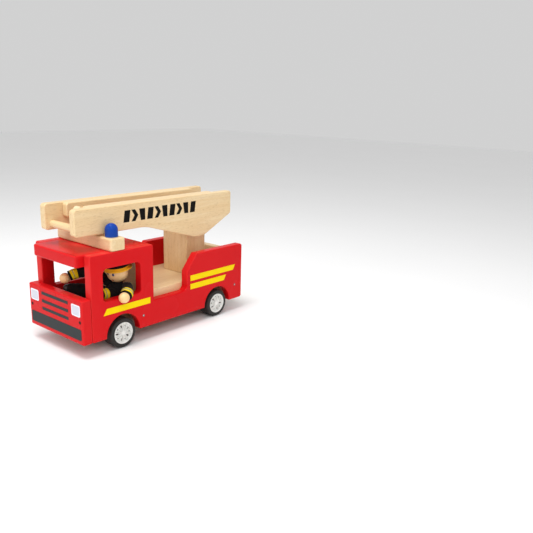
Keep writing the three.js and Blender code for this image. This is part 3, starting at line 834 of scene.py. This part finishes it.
def build_helmet():
    """A dome painted dark above a bright foot, as painted shade from the cab roof, on a thick brim that
    reaches further back and tips forward.
    """
    low, high = (Vector(corner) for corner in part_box("driver_head"))
    radius = (high.x - low.x) / 2 / MM
    centre = Vector(((low.x + high.x) / 2, (low.y + high.y) / 2, high.z - radius * MM))
    width, tail, brim, thickness, height = 22.0, 28.0, 4.5, 3.4, 14.0
    tilt = 7  # degrees, brow down
    inside = radius + 0.6
    painted_shade_start = 10  # the ring of faces where the painted shade on the dome begins
    bm = bmesh.new()
    sides = 96
    rows = []

    def reach(angle):
        a = math.cos(angle)
        back = tail if a < 0 else width
        return back * width / math.sqrt((width * math.cos(angle)) ** 2 + (back * math.sin(angle)) ** 2)

    def ring(radius_at, z_at):
        row = []
        for i in range(sides):
            angle = 2 * math.pi * i / sides
            r = radius_at(angle)
            row.append(bm.verts.new((r * math.cos(angle) * MM, r * math.sin(angle) * MM, z_at(angle) * MM)))
        rows.append(row)

    ring(lambda a: inside, lambda a: 1.2)
    ring(lambda a: inside + 0.5, lambda a: 0.2)
    ring(lambda a: reach(a) - 1.0, lambda a: 0.0)
    ring(lambda a: reach(a) - 0.25, lambda a: 0.4)
    ring(lambda a: reach(a), lambda a: thickness * 0.45)
    ring(lambda a: reach(a) - 0.35, lambda a: thickness - 0.55)
    ring(lambda a: reach(a) - 1.2, lambda a: thickness - 0.1)
    ring(lambda a: inside + 3.0, lambda a: thickness)
    for k in range(0, 15):
        up = math.pi / 2 * k / 15
        level = thickness + 0.6 + (height - 0.6) * math.sin(up)
        ring(lambda a: (inside + 1.8) * math.cos(up), lambda a: level)
    for k, (lower, upper) in enumerate(zip(rows, rows[1:])):
        for i in range(sides):
            j = (i + 1) % sides
            face = bm.faces.new((lower[i], lower[j], upper[j], upper[i]))
            face.material_index = 1 if k >= painted_shade_start else 0
    top = bm.verts.new((0, 0, (thickness + height) * MM))
    for i in range(sides):
        bm.faces.new((rows[-1][i], rows[-1][(i + 1) % sides], top))
    inner = []
    for k in range(0, 8):
        up = math.pi / 2 * k / 8
        row = []
        for i in range(sides):
            angle = 2 * math.pi * i / sides
            r = (inside - 0.1) * math.cos(up)
            row.append(bm.verts.new((r * math.cos(angle) * MM, r * math.sin(angle) * MM,
                                     (1.2 + (height - 0.4) * math.sin(up)) * MM)))
        inner.append(row)
    for lower, upper in zip(inner, inner[1:]):
        for i in range(sides):
            j = (i + 1) % sides
            bm.faces.new((lower[j], lower[i], upper[i], upper[j]))
    crown = bm.verts.new((0, 0, (0.8 + height) * MM))
    for i in range(sides):
        bm.faces.new((inner[-1][(i + 1) % sides], inner[-1][i], crown))
        j = (i + 1) % sides
        bm.faces.new((rows[0][j], rows[0][i], inner[0][i], inner[0][j]))
    bmesh.ops.recalc_face_normals(bm, faces=bm.faces)
    bmesh.ops.translate(bm, vec=(0, 0, brim * MM), verts=bm.verts)
    bmesh.ops.rotate(bm, matrix=Matrix.Rotation(math.radians(tilt), 3, "Y"), verts=bm.verts)
    mesh = bpy.data.meshes.new("helmet")
    bm.to_mesh(mesh)
    bm.free()
    for polygon in mesh.polygons:
        polygon.use_smooth = True
    # The dark rows of the dome take the black cloth as painted shade under the cab roof.
    obj = link("fine_driver_helmet", mesh, HELMET, BLACK_CLOTH_AND_SHADE)
    obj.location = centre
    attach(obj, "driver_head")
    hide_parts("driver_helmet")


def simulate(obj, frames=18, pressure=3.0, cap=3.0):
    """Blows the piece up gently as cloth, and keeps each point within cap mm of where it was."""
    start = [v.co.copy() for v in obj.data.vertices]
    cloth_mod = obj.modifiers.new("cloth", "CLOTH")
    settings = cloth_mod.settings
    settings.quality = 5
    settings.use_pressure = True
    settings.uniform_pressure_force = pressure
    settings.effector_weights.gravity = 0
    settings.tension_stiffness = 20
    settings.bending_stiffness = 0.2
    cloth_mod.point_cache.frame_start = 1
    cloth_mod.point_cache.frame_end = frames
    scene = bpy.context.scene
    for number in range(1, frames + 1):
        scene.frame_set(number)
    evaluated = obj.evaluated_get(bpy.context.evaluated_depsgraph_get())
    moved = [v.co.copy() for v in evaluated.to_mesh().vertices]
    evaluated.to_mesh_clear()
    obj.modifiers.remove(cloth_mod)
    scene.frame_set(1)
    for vert, before, after in zip(obj.data.vertices, start, moved):
        shift = after - before
        if shift.length > cap * MM:
            shift = shift.normalized() * cap * MM
        vert.co = before + shift


def build_jacket():
    """The stuffed body in a black jacket with a collar and a yellow hem band."""
    low, high = (Vector(corner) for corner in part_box("driver_torso"))
    top = at(0, 0, 101.5).z
    centre = (low + high) / 2
    half_x, half_y = (high.x - low.x) / 2 / MM - 1.2, (high.y - low.y) / 2 / MM - 1.2
    bm = bmesh.new()
    sides, rings = 56, 34
    rows = []
    for k in range(rings + 1):
        t = k / rings
        z = low.z + 0.0004 + (top - low.z - 0.0004) * t
        shoulder = 1 - max(0.0, (t - 0.72) / 0.28) ** 2.2 * 0.62
        waist = 1 - 0.10 * math.exp(-((t - 0.42) / 0.16) ** 2)
        foot = min(1.0, 0.86 + t * 2.4)
        row = []
        for i in range(sides):
            angle = 2 * math.pi * i / sides
            c, s = math.cos(angle), math.sin(angle)
            squash = (abs(c) ** 3 + abs(s) ** 3) ** (-1 / 3)
            scale = shoulder * waist * foot * squash
            spot = Vector((half_x * scale * c, half_y * scale * s, 0)) * MM
            fold = noise.noise(Vector((c * 1.4, s * 1.4, t * 7)) * 1.3) * 1.1
            spot += Vector((c, s, 0)) * fold * MM
            row.append(bm.verts.new((centre.x + spot.x, centre.y + spot.y, z)))
        rows.append(row)
    for k in range(rings):
        for i in range(sides):
            j = (i + 1) % sides
            face = bm.faces.new((rows[k][i], rows[k][j], rows[k + 1][j], rows[k + 1][i]))
            if 2 <= k < 5:
                face.material_index = 1
    bm.faces.new(list(reversed(rows[0])))
    bm.faces.new(rows[-1])
    bmesh.ops.recalc_face_normals(bm, faces=bm.faces)
    mesh = bpy.data.meshes.new("jacket")
    bm.to_mesh(mesh)
    bm.free()
    for polygon in mesh.polygons:
        polygon.use_smooth = True
    obj = link("driver_jacket", mesh, BLACK_CLOTH_AND_SHADE, YELLOW_BAND)
    simulate(obj, 16, 2.0, 1.0)
    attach(obj, "chassis")
    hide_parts("driver_torso")
    neck = [(0, -3), (8.2, -3), (8.8, -1.2), (8.0, 0.9), (6.4, 1.6), (5.2, 1.2), (4.8, 2.0), (0, 2.0)]
    collar = link("driver_collar", spun(neck, 48, "z"), BLACK_CLOTH_AND_SHADE)
    collar.location = (centre.x, centre.y, top)
    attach(collar, "chassis")


def build_limbs():
    """Arms and legs as soft sleeves with bright bands, wooden hands and boots."""
    arm = sleeve("driver_left_arm", [(-87, 50, 94), (-84, 58, 97), (-79.5, 65, 98), (-74, 72, 97.4),
                                     (-67, 79.6, 95.2), (-60.0, 85.0, 92.4)],
                 [8.4, 8.4, 8.6, 9.0, 10.0, 10.4], [(0.78, 0.95, 1), (0.84, 0.88, 2)], 0.8)
    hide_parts("driver_left_sleeve")
    arm = sleeve("driver_right_arm", [(-80, 24, 96), (-75, 13, 101), (-62, 8, 112), (-45, 3, 119.5),
                                      (-30, -4, 119.2), (-18.0, -9.6, 114.8)],
                 [8.4, 9.2, 9.2, 9.2, 9.2, 8.8], [(0.80, 0.94, 1), (0.86, 0.89, 2)], 1.2)
    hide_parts("driver_right_sleeve")
    for side in ("left", "right"):
        ball(f"fine_driver_{side}_hand", f"driver_{side}_hand", "chassis", SKIN)
    legs = {
        "left": [(-80, 44, 79), (-66, 44, 84.5), (-56, 44, 87), (-46, 43, 88), (-38, 43, 88.4)],
        "right": [(-70, 28, 80), (-62, 14, 83), (-51, 0, 83.5), (-41, -16, 84.5), (-31, -32, 85)],
    }
    for side, points in legs.items():
        bands = [(0.56, 0.66, 1), (0.66, 0.72, 2), (0.72, 0.82, 1)] if side == "left" else [(0.44, 0.50, 1)]
        girth = [10.4, 10.6, 10.2, 9.8, 9.2] if side == "left" else [11.0, 12.2, 12.4, 11.6, 9.6]
        leg = sleeve(f"driver_{side}_trouser", points, girth, bands, 1.2)
        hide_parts(f"driver_{side}_leg")
        tip = at(*points[-1])
        step = (at(*points[-1]) - at(*points[-2])).normalized()
        boot = bpy.data.meshes.new(f"boot_{side}")
        bm = bmesh.new()
        bmesh.ops.create_icosphere(bm, subdivisions=4, radius=8.6 * MM)
        for vert in bm.verts:
            vert.co.z = max(vert.co.z, -6.8 * MM)
        bm.to_mesh(boot)
        bm.free()
        for polygon in boot.polygons:
            polygon.use_smooth = True
        leather = plastic(f"boot_{side}", linear(28, 25, 24), linear(48, 42, 40), 0.4)
        shoe = link(f"driver_{side}_boot", boot, leather)
        shoe.location = tip + step * 2.2 * MM
        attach(shoe, "chassis")


# ---- Stage ---------------------------------------------------------------------------------------

def build_camera():
    """Looks at the left front of the vehicle from above."""
    place = at(526.04, 856.97, 400.75)
    yaw, pitch, roll = (math.radians(a) for a in (-140.75, -14.96, 1.75))
    forward = Vector((math.cos(yaw) * math.cos(pitch), math.sin(yaw) * math.cos(pitch), math.sin(pitch)))
    right = forward.cross(Vector((0, 0, 1))).normalized()
    up = right.cross(forward)
    side = right * math.cos(roll) + up * math.sin(roll)
    top = up * math.cos(roll) - right * math.sin(roll)
    data = bpy.data.cameras.new("camera")
    data.sensor_width = 36
    data.lens = 41.15
    data.clip_start = 0.01
    data.clip_end = 20
    camera = bpy.data.objects.new("camera", data)
    axes = Matrix((side, top, -forward)).transposed().to_4x4()
    camera.matrix_world = Matrix.Translation(place) @ axes
    bpy.context.scene.collection.objects.link(camera)
    bpy.context.scene.camera = camera


def area_light(name, place, target, size, power):
    """A white disc lamp at place, in metres, that faces target."""
    data = bpy.data.lights.new(name, "AREA")
    data.shape = "DISK"
    data.size = size
    data.energy = power
    obj = bpy.data.objects.new(name, data)
    obj.location = place
    obj.rotation_euler = (Vector(target) - Vector(place)).to_track_quat("-Z", "Y").to_euler()
    bpy.context.scene.collection.objects.link(obj)


def build_stage():
    """A plain pale floor under an even sky and three soft lamps."""
    bm = bmesh.new()
    bmesh.ops.create_grid(bm, x_segments=1, y_segments=1, size=6)
    mesh = bpy.data.meshes.new("floor")
    bm.to_mesh(mesh)
    bm.free()
    s = Shader("floor", Roughness=0.8)
    s.link(s.mix(s.spread(s.noise(s.coords((3, 3, 3)), 1.0), 0.0, 0.3), linear(250, 250, 250),
                 linear(246, 246, 246)), "Base Color")
    floor = link("floor", mesh, s.mat)
    floor.location.z = -0.0002
    world = bpy.data.worlds.new("studio")
    world.use_nodes = True
    world.node_tree.nodes["Background"].inputs["Color"].default_value = (1, 1, 1, 1)
    world.node_tree.nodes["Background"].inputs["Strength"].default_value = 0.64
    bpy.context.scene.world = world
    area_light("key", (0.9, 1.5, 1.3), (0, 0, 0.1), 0.8, 8.5)
    area_light("top", (0.35, 0.1, 1.6), (0, 0, 0.1), 0.8, 15)
    area_light("front", (1.8, -0.1, 0.9), (0, 0, 0.1), 0.8, 5)
    bpy.context.scene.view_settings.view_transform = "Standard"


build_camera()
build_stage()
build_body()
build_lamp()
build_film()
build_nails()
build_wheels()
build_turret()
build_boom()
build_head()
build_helmet()
build_jacket()
build_limbs()
